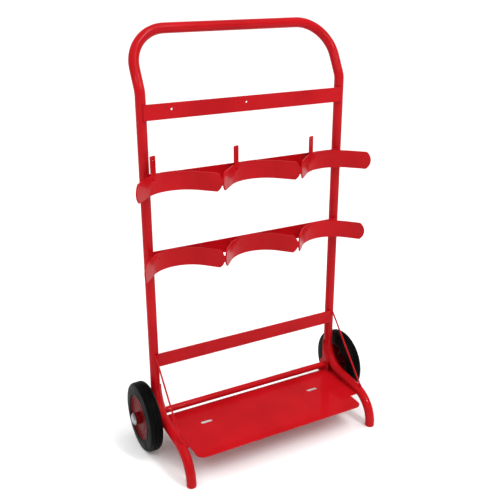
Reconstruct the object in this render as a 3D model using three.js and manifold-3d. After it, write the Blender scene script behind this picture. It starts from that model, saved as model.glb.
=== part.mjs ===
// A three-bay cylinder trolley: a bent tube frame on two rubber wheels, with two rows of saddles
// that hold three upright cylinders on a sheet platform.
// Millimetres, +X to the right as seen from the front, the front faces -Y, +Z is up, z = 0 is the ground.

import * as THREE from "three";
import { mergeVertices } from "three/addons/utils/BufferGeometryUtils.js";
import Module from "manifold-3d";

const wasm = await Module();
wasm.setup();

// ---------------------------------------------------------------- driving dimensions

const seam = 0.3; // gap left between pieces that touch, are pressed together or are welded
const turning = 0.2; // radial running clearance of the wheel bushes on the axle

// frame tube
const frameWidth = 590; // between the upright centrelines
const tubeDiameter = 26.9;
const tubeWall = 1.6;
const handleBendHeight = 1011; // where the uprights lean back, at the corner of their centreline
const handleLean = 28; // degrees
const handleRise = 160.5; // along the lean, from that corner to the handle's centreline
const handleCornerRadius = 101;
const leanBendRadius = 38;
const legRise = 8; // of the leg's underside over the platform, at the corner below the upright
const legFall = 5; // degrees below level, towards the foot
const legReach = 236; // from the upright to the foot
const rearBendRadius = 82;
const frontBendRadius = 83;

// foot plugs
const plugHeadHeight = 4;
const plugHeadEdge = 1.2;
const plugStemLength = 5;

// flat bars
const barHeight = 40;
const barThickness = 5;
const topBarCentre = 962;
const topBarHoleDiameter = 6;
const topBarHoles = [-220, -8]; // from the centre of the trolley
const topBarHoleLift = 4; // above the middle of the bar
const lowerBarCentre = 271.4;

// saddles
const bays = ["left", "middle", "right"];
const saddleRadius = 100; // to the middle of the strip
const saddleThickness = 4;
const saddleEndRadius = 30; // of its round ends, about the middle of its height
const saddleHoleDiameter = 5;
const saddleShift = -2.2; // of both rows, from the centre of the trolley
const rows = {
  upper: { top: 807, height: 49.5, pitch: 235, wrap: 45.5, holeOffset: -46, holeDrop: 12.5, tab: true },
  lower: { top: 596.3, height: 50, pitch: 228.5, wrap: 49, holeOffset: -48, holeDrop: 14, tab: false },
};
const tabWidth = 18;
const tabRise = 50;
const tabCornerRadius = 2.5;
const tabRootRadius = 1.5;
const tabHoleDiameter = 5;
const tabHoleDrop = 12;

// platform
const platformUnderAxle = 6.5; // its top below the axle tube
const platformThickness = 3;
const platformShift = -7; // of its front part and its rear recess, from the centre of the trolley
const platformFrontInset = 29.5; // its front part's side inside the upright's centreline
const platformFront = 242; // in front of the upright centrelines, as are the next five
const platformNotch = 181;
const platformTuckFront = 105;
const platformTuckRear = 92;
const platformEarFront = 84;
const platformRecess = 12;
const platformTuck = 5; // how far its sides go in under the legs
const platformEarReach = 4; // its rear corners outside the upright's centreline
const platformEarRear = 8; // behind the upright centrelines
const platformCornerRadius = 22;
const recessCornerRadius = 6;
const recessInset = 28; // its end inside the upright's centreline
const slotLength = 35;
const slotWidth = 13;
const slotPlaces = [-181.5, 175.5]; // from the centre of the trolley
const slotDistance = 95;

// axle and its brackets
const axleAdvance = 9.4; // in front of the upright centrelines
const axleTubeDiameter = 19;
const axleTubeWall = 1.2;
const axleDiameter = 16;
const axleEndReach = 3.3; // past the outer washer
const bracketThickness = 4;
const bracketTop = 84; // above the axle, as are the next two
const bracketWaistBottom = 18;
const bracketShoulder = 6;
const bracketWaistBack = 3; // behind the upright centrelines
const bracketBack = 24; // behind the axle
const bracketNose = 20; // in front of the axle
const bracketHeelRadius = 10;

// stay rods
const stayDiameter = 5;
const stayOutset = 1.4; // outside the upright's centreline
const stayTopDrop = 2.4; // below the lower bar's top edge
const stayLean = 41.5; // degrees from vertical

// wheels
const wheelDiameter = 200;
const wheelWidth = 42;
const legToWheel = 5.55;
const tyreShoulderDepth = 19; // in radius
const tyreShoulderWidth = 14;
const treadGrooveDepth = 2.5;
const treadGrooveWidth = 3;
const treadGroovePitch = 8;
const rimRadius = 64;
const rimBarrelThickness = 4;
const rimWidth = 36;
const rimWebThickness = 4;
const rimWebDish = 4; // the web's outer face behind the barrel's edge
const rimRibCount = 8;
const rimRibThickness = 4;
const rimRibDrop = 6; // the ribs' inner edge behind the barrel's edge
const hubRadius = 17;
const hubInnerReach = 25; // from the wheel's middle plane
const hubOuterReach = 30;
const bushDiameter = 21;
const bushLength = 14;
const washerDiameter = 30;
const washerThickness = 2;
const capDiameter = 34;
const capWall = 1.5;
const capEndWall = 1.8;
const capEdge = 2.5;

// facets
const tubeFacets = 16;
const bendFacets = 6;
const leanFacets = 3;
const wheelFacets = 36;
const roundFacets = 24;
const holeFacets = 12;
const wrapFacets = 14;
const cornerFacets = 6;

// ---------------------------------------------------------------- derived dimensions

const rad = THREE.MathUtils.degToRad;
const tubeRadius = tubeDiameter / 2;
const uprightX = frameWidth / 2;
const barBack = -tubeRadius - seam; // y of the bars' back faces
const barFront = barBack - barThickness;
const axleY = -axleAdvance;
const axleZ = wheelDiameter / 2;
const platformTop = axleZ - axleTubeDiameter / 2 - platformUnderAxle;
const legCornerHeight = platformTop + legRise + tubeRadius;
const footCornerZ = legCornerHeight - legReach * Math.tan(rad(legFall));
const handleY = handleRise * Math.sin(rad(handleLean));
const handleZ = handleBendHeight + handleRise * Math.cos(rad(handleLean));
const stayOffset = uprightX + stayOutset;
const stayTop = lowerBarCentre + barHeight / 2 - stayTopDrop;
const wheelCentre = uprightX + tubeRadius + legToWheel + wheelWidth / 2; // from the centre of the trolley
const innerWasherStart = wheelCentre - hubInnerReach - seam - washerThickness;
const outerWasherStart = wheelCentre + hubOuterReach + seam;
const axleEnd = outerWasherStart + washerThickness + seam + axleEndReach;
const capEnd = axleEnd + seam + capEndWall;

// ---------------------------------------------------------------- materials

function finish(color, roughness, metalness) {
  return new THREE.MeshStandardMaterial({ color, roughness, metalness });
}

const redPaint = () => finish(0xc4161c, 0.35, 0.1);
const redPlastic = () => finish(0x8f1218, 0.5, 0);
const blackRubber = () => finish(0x17181a, 0.75, 0);
const zinc = () => finish(0xb9bcbc, 0.35, 0.9);
const steel = () => finish(0x8d9093, 0.4, 0.9);
const blackPlastic = () => finish(0x222324, 0.6, 0);

// ---------------------------------------------------------------- solids

// A closed geometry as a solid that can be joined and cut.
function solidOf(geometry) {
  const bare = geometry.clone();
  bare.deleteAttribute("normal");
  bare.deleteAttribute("uv");
  const merged = mergeVertices(bare, 1e-4);
  const vertProperties = merged.attributes.position.array;
  const triVerts = new Uint32Array(merged.index.array);
  return new wasm.Manifold(new wasm.Mesh({ numProp: 3, vertProperties, triVerts }));
}

function geometryOf(solid) {
  const mesh = solid.getMesh();
  const geometry = new THREE.BufferGeometry();
  geometry.setAttribute("position", new THREE.BufferAttribute(mesh.vertProperties, 3));
  geometry.setIndex(new THREE.BufferAttribute(mesh.triVerts, 1));
  geometry.computeVertexNormals();
  return geometry;
}

function join(body, ...others) {
  return geometryOf(others.reduce((joined, other) => joined.add(solidOf(other)), solidOf(body)));
}

const common = (a, b) => geometryOf(solidOf(a).intersect(solidOf(b)));

// An outline's round stretches each get that many facets: an arc takes two for each curve segment.
const extrude = (shape, depth, facets) =>
  new THREE.ExtrudeGeometry(shape, { depth, bevelEnabled: false, curveSegments: facets / 2 });

// A shape drawn in X and Z, from y = front back to y = front + depth.
function frontPlate(shape, front, depth, facets = holeFacets) {
  return extrude(shape, depth, facets).rotateX(Math.PI / 2).translate(0, front + depth, 0);
}

// A shape drawn in Y and Z, from x = start to x = start + depth.
function sidePlate(shape, start, depth, facets = holeFacets) {
  const turn = new THREE.Matrix4().makeBasis(
    new THREE.Vector3(0, 1, 0),
    new THREE.Vector3(0, 0, 1),
    new THREE.Vector3(1, 0, 0),
  );
  return extrude(shape, depth, facets).applyMatrix4(turn).translate(start, 0, 0);
}

// A profile of [distance along the axle, radius] turned about the axle. side is 1 on the right and -1 on the
// left, and distances run outwards from the centre of the trolley.
function turned(profile, side, facets) {
  const points = profile.map(([along, radius]) => new THREE.Vector2(radius, along));
  const geometry = new THREE.LatheGeometry(points, facets);
  return geometry.rotateZ(-side * Math.PI / 2).translate(0, axleY, axleZ);
}

// A round tube section, open along its bore.
function ringShape(outer, inner) {
  const shape = new THREE.Shape().absarc(0, 0, outer, 0, 2 * Math.PI);
  shape.holes.push(new THREE.Path().absarc(0, 0, inner, 0, 2 * Math.PI, true));
  return shape;
}

// A turned ring profile: a sleeve from start to end along the axle.
const sleeve = (start, end, inner, outer) => [
  [start, inner],
  [start, outer],
  [end, outer],
  [end, inner],
  [start, inner],
];

// A centreline of straight runs joined by round bends. Each run is one step and each bend is several,
// so straight tube costs no extra facets.
class BentLine extends THREE.Curve {
  constructor(corners) {
    super();
    this.points = [corners[0].at];
    this.tangents = [];
    for (let i = 1; i < corners.length - 1; i++) {
      const { at, radius, steps } = corners[i];
      const from = at.clone().sub(corners[i - 1].at).normalize();
      const to = corners[i + 1].at.clone().sub(at).normalize();
      if (i === 1) this.tangents.push(from);
      const turn = from.angleTo(to);
      const axis = from.clone().cross(to).normalize();
      const start = at.clone().addScaledVector(from, -radius * Math.tan(turn / 2));
      const inward = axis.clone().cross(from);
      const centre = start.clone().addScaledVector(inward, radius);
      for (let k = 0; k <= steps; k++) {
        const angle = (turn * k) / steps;
        const spoke = inward.clone().negate().applyAxisAngle(axis, angle);
        this.points.push(centre.clone().addScaledVector(spoke, radius));
        this.tangents.push(from.clone().applyAxisAngle(axis, angle));
      }
    }
    this.points.push(corners.at(-1).at);
    this.tangents.push(this.tangents.at(-1));
  }

  get steps() {
    return this.points.length - 1;
  }

  getUtoTmapping(u) {
    return u;
  }

  getPoint(t, target = new THREE.Vector3()) {
    const place = t * this.steps;
    const i = Math.min(Math.floor(place + 1e-9), this.steps - 1);
    return target.lerpVectors(this.points[i], this.points[i + 1], place - i);
  }

  getTangent(t, target = new THREE.Vector3()) {
    const place = t * this.steps;
    const i = Math.min(Math.floor(place + 1e-9), this.steps - 1);
    return target.lerpVectors(this.tangents[i], this.tangents[i + 1], place - i).normalize();
  }
}

// ---------------------------------------------------------------- frame tube and feet

function frameTube() {
  const half = [
    { at: new THREE.Vector3(uprightX, -legReach, plugHeadHeight) },
    { at: new THREE.Vector3(uprightX, -legReach, footCornerZ), radius: frontBendRadius, steps: bendFacets },
    { at: new THREE.Vector3(uprightX, 0, legCornerHeight), radius: rearBendRadius, steps: bendFacets },
    { at: new THREE.Vector3(uprightX, 0, handleBendHeight), radius: leanBendRadius, steps: leanFacets },
    { at: new THREE.Vector3(uprightX, handleY, handleZ), radius: handleCornerRadius, steps: bendFacets },
  ];
  const mirrored = half.map(({ at, ...bend }) => ({ at: new THREE.Vector3(-at.x, at.y, at.z), ...bend }));
  const line = new BentLine([...half, ...mirrored.reverse()]);
  return new THREE.ExtrudeGeometry(ringShape(tubeRadius, tubeRadius - tubeWall), {
    steps: line.steps,
    extrudePath: line,
    curveSegments: tubeFacets / 2,
  });
}

// A push-in plug: a head as wide as the tube, and a stem inside it.
function footPlug(side) {
  const stemRadius = tubeRadius - tubeWall - seam;
  const headTop = plugHeadHeight - seam;
  const points = [
    [0, 0],
    [tubeRadius - plugHeadEdge, 0],
    [tubeRadius, plugHeadEdge],
    [tubeRadius, headTop],
    [stemRadius, headTop],
    [stemRadius, headTop + plugStemLength],
    [0, headTop + plugStemLength],
  ].map(([x, y]) => new THREE.Vector2(x, y));
  const plug = new THREE.LatheGeometry(points, roundFacets);
  return plug.rotateX(Math.PI / 2).translate(side * uprightX, -legReach, 0);
}

// ---------------------------------------------------------------- flat bars

const rectangle = (x0, z0, x1, z1) =>
  new THREE.Shape([[x0, z0], [x1, z0], [x1, z1], [x0, z1]].map(([x, z]) => new THREE.Vector2(x, z)));

const roundHole = (x, z, diameter) => new THREE.Path().absarc(x, z, diameter / 2, 0, 2 * Math.PI, true);

function flatBar(centre, halfLength, holes = []) {
  const shape = rectangle(-halfLength, centre - barHeight / 2, halfLength, centre + barHeight / 2);
  shape.holes.push(...holes);
  return frontPlate(shape, barFront, barThickness);
}

function topBar() {
  const holes = topBarHoles.map((x) => roundHole(x, topBarCentre + topBarHoleLift, topBarHoleDiameter));
  return flatBar(topBarCentre, uprightX, holes);
}

// ---------------------------------------------------------------- saddles

// How a saddle's strip is laid out: an arc round the cylinder with a straight wing on each side,
// as long as lets it meet its neighbour's.
function saddleLayout(row) {
  const wrap = rad(row.wrap);
  const arc = saddleRadius * wrap;
  const reach = (row.pitch - seam) / 2 - (saddleThickness / 2) * Math.sin(wrap);
  const wing = (reach - saddleRadius * Math.sin(wrap)) / Math.cos(wrap);
  return { wrap, arc, wing, centreY: barFront - seam - saddleThickness / 2 - saddleRadius };
}

// Across the trolley, the place of a point at that distance along the strip from its middle.
function acrossAt(layout, distance) {
  const along = Math.min(Math.abs(distance), layout.arc);
  const beyond = Math.abs(distance) - along;
  const across = saddleRadius * Math.sin(along / saddleRadius) + beyond * Math.cos(layout.wrap);
  return Math.sign(distance) * across;
}

// The strip seen from above, as tall as the row with its tabs.
function saddlePlan(layout, row) {
  const { wrap, wing, centreY } = layout;
  const outer = saddleRadius + saddleThickness / 2;
  const inner = saddleRadius - saddleThickness / 2;
  const along = new THREE.Vector2(Math.cos(wrap), -Math.sin(wrap)).multiplyScalar(wing);
  const arcEnd = (radius) => new THREE.Vector2(radius * Math.sin(wrap), centreY + radius * Math.cos(wrap));
  const edge = (radius) => arcEnd(radius).add(along);
  const shape = new THREE.Shape();
  shape.moveTo(edge(inner).x, edge(inner).y);
  shape.lineTo(edge(outer).x, edge(outer).y);
  shape.absarc(0, centreY, outer, Math.PI / 2 - wrap, Math.PI / 2 + wrap, false);
  shape.lineTo(-edge(outer).x, edge(outer).y);
  shape.lineTo(-edge(inner).x, edge(inner).y);
  shape.absarc(0, centreY, inner, Math.PI / 2 + wrap, Math.PI / 2 - wrap, true);
  return extrude(shape, row.height + tabRise, wrapFacets).translate(0, 0, row.top - row.height);
}

// The strip's outline laid flat: distance along the strip, and height.
function saddleOutline(layout, row) {
  const half = layout.arc + layout.wing + (saddleThickness / 2) * Math.tan(layout.wrap);
  const middle = row.top - row.height / 2;
  const r = saddleEndRadius;
  const swing = Math.asin(row.height / 2 / r);
  const shape = new THREE.Shape();
  shape.absarc(half - r, middle, r, -swing, swing, false);
  if (row.tab) addTab(shape, row);
  shape.absarc(-half + r, middle, r, Math.PI - swing, Math.PI + swing, false);
  return shape;
}

// The retaining tab that stands up from the strip's top edge, drawn from right to left.
function addTab(shape, row) {
  const right = stripDistance(row.holeOffset) + tabWidth / 2;
  const left = right - tabWidth;
  const tip = row.top + tabRise;
  shape.absarc(right + tabRootRadius, row.top + tabRootRadius, tabRootRadius, 1.5 * Math.PI, Math.PI, true);
  shape.absarc(right - tabCornerRadius, tip - tabCornerRadius, tabCornerRadius, 0, Math.PI / 2, false);
  shape.absarc(left + tabCornerRadius, tip - tabCornerRadius, tabCornerRadius, Math.PI / 2, Math.PI, false);
  shape.absarc(left - tabRootRadius, row.top + tabRootRadius, tabRootRadius, 0, -Math.PI / 2, true);
}

// Distance along the strip of a point on the arc at that offset across the trolley.
const stripDistance = (across) => saddleRadius * Math.asin(across / saddleRadius);

function saddle(row, bay) {
  const layout = saddleLayout(row);
  const flat = saddleOutline(layout, row).getPoints(cornerFacets / 2);
  const seenFromFront = flat.map(({ x, y }) => new THREE.Vector2(acrossAt(layout, x), y));
  const shape = new THREE.Shape(seenFromFront);
  shape.holes.push(roundHole(row.holeOffset, row.top - row.holeDrop, saddleHoleDiameter));
  if (row.tab) shape.holes.push(roundHole(row.holeOffset, row.top + tabRise - tabHoleDrop, tabHoleDiameter));
  const depth = 2 * (saddleRadius + layout.wing);
  const trimmed = common(saddlePlan(layout, row), frontPlate(shape, barFront - depth, depth));
  return trimmed.translate(saddleShift + (bay - 1) * row.pitch, 0, 0);
}

// ---------------------------------------------------------------- platform

// One side of the sheet's outline from its front to its rear recess: the notch, the edge beside the leg and
// the rear corner that reaches under the leg's bend. side is 1 on the right, -1 on the left.
function platformSide(shape, side) {
  const front = platformShift + side * (uprightX - platformFrontInset);
  const recess = platformShift + side * (uprightX - recessInset);
  const besideLeg = side * (uprightX - tubeRadius - seam);
  const underLeg = besideLeg + side * platformTuck;
  const ear = side * (uprightX + platformEarReach);
  const r = recessCornerRadius;
  const points = [
    [front, -platformNotch],
    [besideLeg, -platformNotch],
    [underLeg, -platformTuckFront],
    [underLeg, -platformTuckRear],
    [ear, -platformEarFront],
    [ear, platformEarRear],
    [recess, platformEarRear],
    [recess, -platformRecess + r],
  ];
  if (side < 0) points.reverse();
  for (const [x, y] of points) shape.lineTo(x, y);
}

function platform() {
  const half = uprightX - platformFrontInset;
  const recessHalf = uprightX - recessInset;
  const r = platformCornerRadius;
  const c = recessCornerRadius;
  const shape = new THREE.Shape();
  shape.moveTo(platformShift - half + r, -platformFront);
  shape.absarc(platformShift + half - r, -platformFront + r, r, 1.5 * Math.PI, 2 * Math.PI, false);
  platformSide(shape, 1);
  shape.absarc(platformShift + recessHalf - c, -platformRecess + c, c, 0, -Math.PI / 2, true);
  shape.absarc(platformShift - recessHalf + c, -platformRecess + c, c, -Math.PI / 2, -Math.PI, true);
  platformSide(shape, -1);
  shape.absarc(platformShift - half + r, -platformFront + r, r, Math.PI, 1.5 * Math.PI, false);
  for (const x of slotPlaces) shape.holes.push(slot(x, -slotDistance));
  return extrude(shape, platformThickness, cornerFacets).translate(0, 0, platformTop - platformThickness);
}

function slot(x, y) {
  const r = slotWidth / 2;
  const straight = slotLength / 2 - r;
  const path = new THREE.Path();
  path.absarc(x + straight, y, r, Math.PI / 2, -Math.PI / 2, true);
  path.absarc(x - straight, y, r, 1.5 * Math.PI, Math.PI / 2, true);
  return path;
}

// ---------------------------------------------------------------- axle, brackets and stays

// A gusset on the inner side of the leg: its eye holds the axle tube, its front edge follows the leg's rear
// bend up to the upright and its foot stands on the platform.
function axleBracket(side) {
  const foot = platformTop + seam;
  const back = axleY + bracketBack;
  const nose = axleY - bracketNose;
  const bendTop = legCornerHeight + rearBendRadius * Math.tan(rad((90 - legFall) / 2));
  const noseTurn = Math.acos(1 + nose / rearBendRadius);
  const r = bracketHeelRadius;
  const shape = new THREE.Shape();
  shape.moveTo(nose, axleZ);
  shape.lineTo(nose, foot);
  shape.absarc(back - r, foot + r, r, -Math.PI / 2, 0, false);
  shape.lineTo(back, axleZ + bracketShoulder);
  shape.lineTo(bracketWaistBack, axleZ + bracketWaistBottom);
  shape.lineTo(bracketWaistBack, axleZ + bracketTop);
  shape.lineTo(0, axleZ + bracketTop);
  shape.absarc(-rearBendRadius, bendTop, rearBendRadius, 0, -noseTurn, true);
  shape.holes.push(roundHole(axleY, axleZ, axleTubeDiameter + 2 * seam));
  const outside = uprightX - tubeRadius - seam;
  return sidePlate(shape, side > 0 ? outside - bracketThickness : -outside, bracketThickness, roundFacets);
}

const axleTubeEnd = innerWasherStart - seam;

function axleTube() {
  const outer = axleTubeDiameter / 2;
  return turned(sleeve(-axleTubeEnd, axleTubeEnd, outer - axleTubeWall, outer), 1, roundFacets);
}

function axleRod() {
  const r = axleDiameter / 2;
  const profile = [
    [-axleEnd, 0],
    [-axleEnd, r],
    [axleEnd, r],
    [axleEnd, 0],
  ];
  return turned(profile, 1, roundFacets);
}

// A straight rod in the upright's plane, from the front of the upright to the top of the leg's front bend.
function stayRod(side) {
  const r = stayDiameter / 2;
  const lean = rad(stayLean);
  const down = new THREE.Vector2(-Math.sin(lean), -Math.cos(lean));
  const under = new THREE.Vector2(Math.cos(lean), -Math.sin(lean));
  const top = new THREE.Vector2(-tubeRadius - seam - r * under.x, stayTop);
  const bendCentre = new THREE.Vector2(
    -legReach + frontBendRadius,
    footCornerZ - frontBendRadius * Math.tan(rad(90 - legFall) / 2),
  );
  const fromCentre = top.clone().addScaledVector(under, r).sub(bendCentre);
  const along = fromCentre.dot(down);
  const clear = frontBendRadius + tubeRadius + seam;
  const length = -along - Math.sqrt(along ** 2 - fromCentre.lengthSq() + clear ** 2);
  const middle = top.clone().addScaledVector(down, length / 2);
  const rod = new THREE.CylinderGeometry(r, r, length, holeFacets);
  return rod.rotateX(Math.PI / 2 - lean).translate(side * stayOffset, middle.x, middle.y);
}

// ---------------------------------------------------------------- wheels

const bushRadius = bushDiameter / 2;
const boreRadius = bushRadius + seam;

function tyre(side) {
  const half = wheelWidth / 2;
  const outer = wheelDiameter / 2;
  const inner = rimRadius + seam;
  const start = wheelCentre - half;
  const end = wheelCentre + half;
  const quarter = Math.SQRT1_2;
  const shoulder = (x, direction) => [
    [x, outer - tyreShoulderDepth],
    [x + direction * tyreShoulderWidth * (1 - quarter), outer - tyreShoulderDepth * (1 - quarter)],
    [x + direction * tyreShoulderWidth, outer],
  ];
  const groove = (middle) => [
    [middle - treadGrooveWidth / 2, outer],
    [middle - treadGrooveWidth / 2, outer - treadGrooveDepth],
    [middle + treadGrooveWidth / 2, outer - treadGrooveDepth],
    [middle + treadGrooveWidth / 2, outer],
  ];
  const profile = [
    [start, inner],
    ...shoulder(start, 1),
    ...groove(wheelCentre - treadGroovePitch / 2),
    ...groove(wheelCentre + treadGroovePitch / 2),
    ...shoulder(end, -1).reverse(),
    [end, inner],
    [start, inner],
  ];
  return turned(profile, side, wheelFacets);
}

// The wheel centre: a barrel under the tyre, a web near the outer face, a hub and ribs behind the web.
function rim(side) {
  const outerEdge = wheelCentre + rimWidth / 2;
  const innerEdge = wheelCentre - rimWidth / 2;
  const webOuter = outerEdge - rimWebDish;
  const webInner = webOuter - rimWebThickness;
  const barrel = rimRadius - rimBarrelThickness;
  const hubEnd = wheelCentre + hubOuterReach;
  const hubStart = wheelCentre - hubInnerReach;
  const body = turned(
    [
      [hubStart, boreRadius],
      [hubStart, hubRadius],
      [webInner, hubRadius],
      [webInner, barrel],
      [innerEdge, barrel],
      [innerEdge, rimRadius],
      [outerEdge, rimRadius],
      [outerEdge, barrel],
      [webOuter, barrel],
      [webOuter, hubRadius],
      [hubEnd, hubRadius],
      [hubEnd, boreRadius],
      [hubStart, boreRadius],
    ],
    side,
    wheelFacets,
  );
  const ribStart = innerEdge + rimRibDrop;
  const ribInner = (boreRadius + hubRadius) / 2;
  const ribOuter = rimRadius - rimBarrelThickness / 2;
  const ribDepth = webInner + rimWebThickness / 2 - ribStart;
  const ribs = Array.from({ length: rimRibCount }, (_, k) => {
    const rib = new THREE.BoxGeometry(ribDepth, rimRibThickness, ribOuter - ribInner);
    rib.translate(side * (ribStart + ribDepth / 2), 0, (ribOuter + ribInner) / 2);
    return rib.rotateX((2 * Math.PI * (k + 0.5)) / rimRibCount).translate(0, axleY, axleZ);
  });
  return join(body, ...ribs);
}

function bush(start, side) {
  return turned(sleeve(start, start + bushLength, axleDiameter / 2 + turning, bushRadius), side, roundFacets);
}

function washer(start, side) {
  const profile = sleeve(start, start + washerThickness, axleDiameter / 2 + seam, washerDiameter / 2);
  return turned(profile, side, roundFacets);
}

// A pressed cup over the outer washer that grips the end of the axle.
function axleCap(side) {
  const lip = outerWasherStart + seam;
  const floor = outerWasherStart + washerThickness + seam;
  const outer = capDiameter / 2;
  const profile = [
    [axleEnd + seam, 0],
    [axleEnd + seam, axleDiameter / 2 + seam],
    [floor, axleDiameter / 2 + seam],
    [floor, outer - capWall],
    [lip, outer - capWall],
    [lip, outer],
    [capEnd - capEdge, outer],
    [capEnd - capEdge * (1 - Math.SQRT1_2), outer - capEdge * (1 - Math.SQRT1_2)],
    [capEnd, outer - capEdge],
    [capEnd, 0],
  ];
  return turned(profile, side, roundFacets);
}

// ---------------------------------------------------------------- assembly

const trolley = new THREE.Group();
const legFront = -legReach - tubeRadius;
const rearmost = Math.max(handleY + tubeRadius, axleY + wheelDiameter / 2);
trolley.position.y = -(legFront + rearmost) / 2; // the origin is under the middle of the whole trolley

function add(name, geometry, material) {
  const mesh = new THREE.Mesh(geometry, material);
  mesh.name = name;
  trolley.add(mesh);
}

add("frame_tube", frameTube(), redPaint());
add("top_bar", topBar(), redPaint());
add("lower_bar", flatBar(lowerBarCentre, stayOffset - stayDiameter), redPaint());
add("platform", platform(), redPaint());
add("axle_tube", axleTube(), redPaint());
add("axle_rod", axleRod(), steel());

for (const [level, row] of Object.entries(rows)) {
  add(level + "_cradle_bar", flatBar(row.top - barHeight / 2, uprightX), redPaint());
  bays.forEach((bay, index) => add(level + "_saddle_" + bay, saddle(row, index), redPaint()));
}

for (const [name, side] of [["left", -1], ["right", 1]]) {
  add(name + "_foot_plug", footPlug(side), redPlastic());
  add(name + "_axle_bracket", axleBracket(side), redPaint());
  add(name + "_stay_rod", stayRod(side), redPaint());
  add(name + "_inner_washer", washer(innerWasherStart, side), zinc());
  add(name + "_outer_washer", washer(outerWasherStart, side), zinc());
  add(name + "_axle_cap", axleCap(side), zinc());
  add(name + "_tyre", tyre(side), blackRubber());
  add(name + "_rim", rim(side), redPlastic());
  add(name + "_inner_bush", bush(wheelCentre - hubInnerReach, side), blackPlastic());
  add(name + "_outer_bush", bush(wheelCentre + hubOuterReach - bushLength, side), blackPlastic());
}

export default trolley;
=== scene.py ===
# %% [markdown]
# # A trolley for three upright cylinders
# The real trolley is one bent steel tube with flat bars welded across it. Curved saddles hold the
# cylinders, a sheet platform carries them, and two rubber wheels run on an axle behind the platform.
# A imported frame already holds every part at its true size. This lesson loads that frame and builds a
# finer piece in the place of each plain part, so that the trolley still moves and measures the same.

from math import acos, asin, atan2, cos, degrees, pi, radians, sin, tan

import bmesh
import bpy
from mathutils import Matrix, Vector


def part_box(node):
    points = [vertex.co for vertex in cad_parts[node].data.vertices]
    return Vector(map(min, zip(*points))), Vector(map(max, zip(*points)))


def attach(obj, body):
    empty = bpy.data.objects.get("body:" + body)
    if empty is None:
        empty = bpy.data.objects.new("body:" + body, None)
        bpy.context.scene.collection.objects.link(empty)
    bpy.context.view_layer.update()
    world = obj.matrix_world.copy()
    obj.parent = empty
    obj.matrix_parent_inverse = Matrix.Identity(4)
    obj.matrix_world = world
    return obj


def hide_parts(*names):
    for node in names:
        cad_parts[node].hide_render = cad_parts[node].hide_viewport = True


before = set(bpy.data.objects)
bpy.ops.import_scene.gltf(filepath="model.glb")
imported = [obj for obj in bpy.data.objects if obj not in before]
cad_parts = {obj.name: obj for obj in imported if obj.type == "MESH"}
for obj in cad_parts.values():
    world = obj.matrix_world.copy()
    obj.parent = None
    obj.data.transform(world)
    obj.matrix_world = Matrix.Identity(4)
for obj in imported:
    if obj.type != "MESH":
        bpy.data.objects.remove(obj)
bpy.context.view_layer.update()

# %% [markdown]
# ## The camera
# A camera is a place, a direction and a lens. This one looks at the trolley from its front left and
# from above. The direction is given as an angle round the trolley and an angle above the horizon, and
# the lens is a slightly long one, so that the trolley hardly tapers.

# %% Camera
CAMERA_PLACE = Vector((-0.9310, -1.6523, 1.3076))
CAMERA_AZIMUTH = radians(-28.553)
CAMERA_ELEVATION = radians(21.262)
LENS_MM = 53.33
SENSOR_MM = 36

back = Vector((
    sin(CAMERA_AZIMUTH) * cos(CAMERA_ELEVATION),
    -cos(CAMERA_AZIMUTH) * cos(CAMERA_ELEVATION),
    sin(CAMERA_ELEVATION),
))
camera = bpy.data.objects.new("camera", bpy.data.cameras.new("camera"))
camera.data.lens = LENS_MM
camera.data.sensor_width = SENSOR_MM
camera.location = CAMERA_PLACE
camera.rotation_mode = "QUATERNION"
camera.rotation_quaternion = back.to_track_quat("Z", "Y")
bpy.context.scene.collection.objects.link(camera)
bpy.context.scene.camera = camera
print("camera height:", round(CAMERA_PLACE.z, 3))

# %% [markdown]
# ## Floor and light
# A pale floor that runs on behind the trolley leaves no horizon to distract from it. Three broad, soft
# lamps far away light floor and trolley evenly. A tall narrow panel adds the long highlights that run
# down painted tubes, and a small lamp on the other side adds a few sparks. The sky is kept dim, because a
# bright one would reflect everywhere and turn a deep red pink. The plain "Standard" view keeps colours as
# they are.

# %% Floor and light
FLOOR_SIZE = 90
FLOOR_COLOUR = (0.88, 0.88, 0.88, 1)
FLOOR_ROUGHNESS = 0.9
SKY_STRENGTH = 0.5

scene = bpy.context.scene
scene.view_settings.view_transform = "Standard"
scene.world = bpy.data.worlds.new("sky")
scene.world.use_nodes = True
sky = scene.world.node_tree.nodes["Background"]
sky.inputs["Color"].default_value = (1, 1, 1, 1)
sky.inputs["Strength"].default_value = SKY_STRENGTH


def aimed(name, lamp, place, aim):
    """Puts a lamp at place so that it shines towards aim."""
    holder = bpy.data.objects.new(name, lamp)
    holder.location = place
    holder.rotation_mode = "QUATERNION"
    holder.rotation_quaternion = (Vector(place) - Vector(aim)).to_track_quat("Z", "Y")
    scene.collection.objects.link(holder)
    return holder


def broad_lamp(name, place, spread_angle, strength):
    """A far lamp, as soft as its angle is wide, that leaves no reflection in the paint."""
    lamp = bpy.data.lights.new(name, "SUN")
    lamp.angle = radians(spread_angle)
    lamp.energy = strength
    aimed(name, lamp, place, (0, 0, 0)).visible_glossy = False


def panel_lamp(name, place, aim, width, height, power):
    """An upright panel near the trolley. Its reflection is the highlight on the tubes."""
    lamp = bpy.data.lights.new(name, "AREA")
    lamp.shape = "RECTANGLE"
    lamp.size = width
    lamp.size_y = height
    lamp.energy = power
    aimed(name, lamp, place, aim)


broad_lamp("front_lamp", (-2, -7, 7), 40, 1.0)
broad_lamp("left_lamp", (-6, 2, 9), 50, 1.1)
broad_lamp("right_lamp", (5, -1, 9), 60, 1.1)
panel_lamp("strip_lamp", (0.84, -1.88, 3.35), (0, 0.1, 0.9), 0.045, 2.0, 50)
panel_lamp("spark_lamp", (-2.2, -1.6, 3.0), (0, 0, 0.7), 0.12, 0.12, 7)

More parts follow.
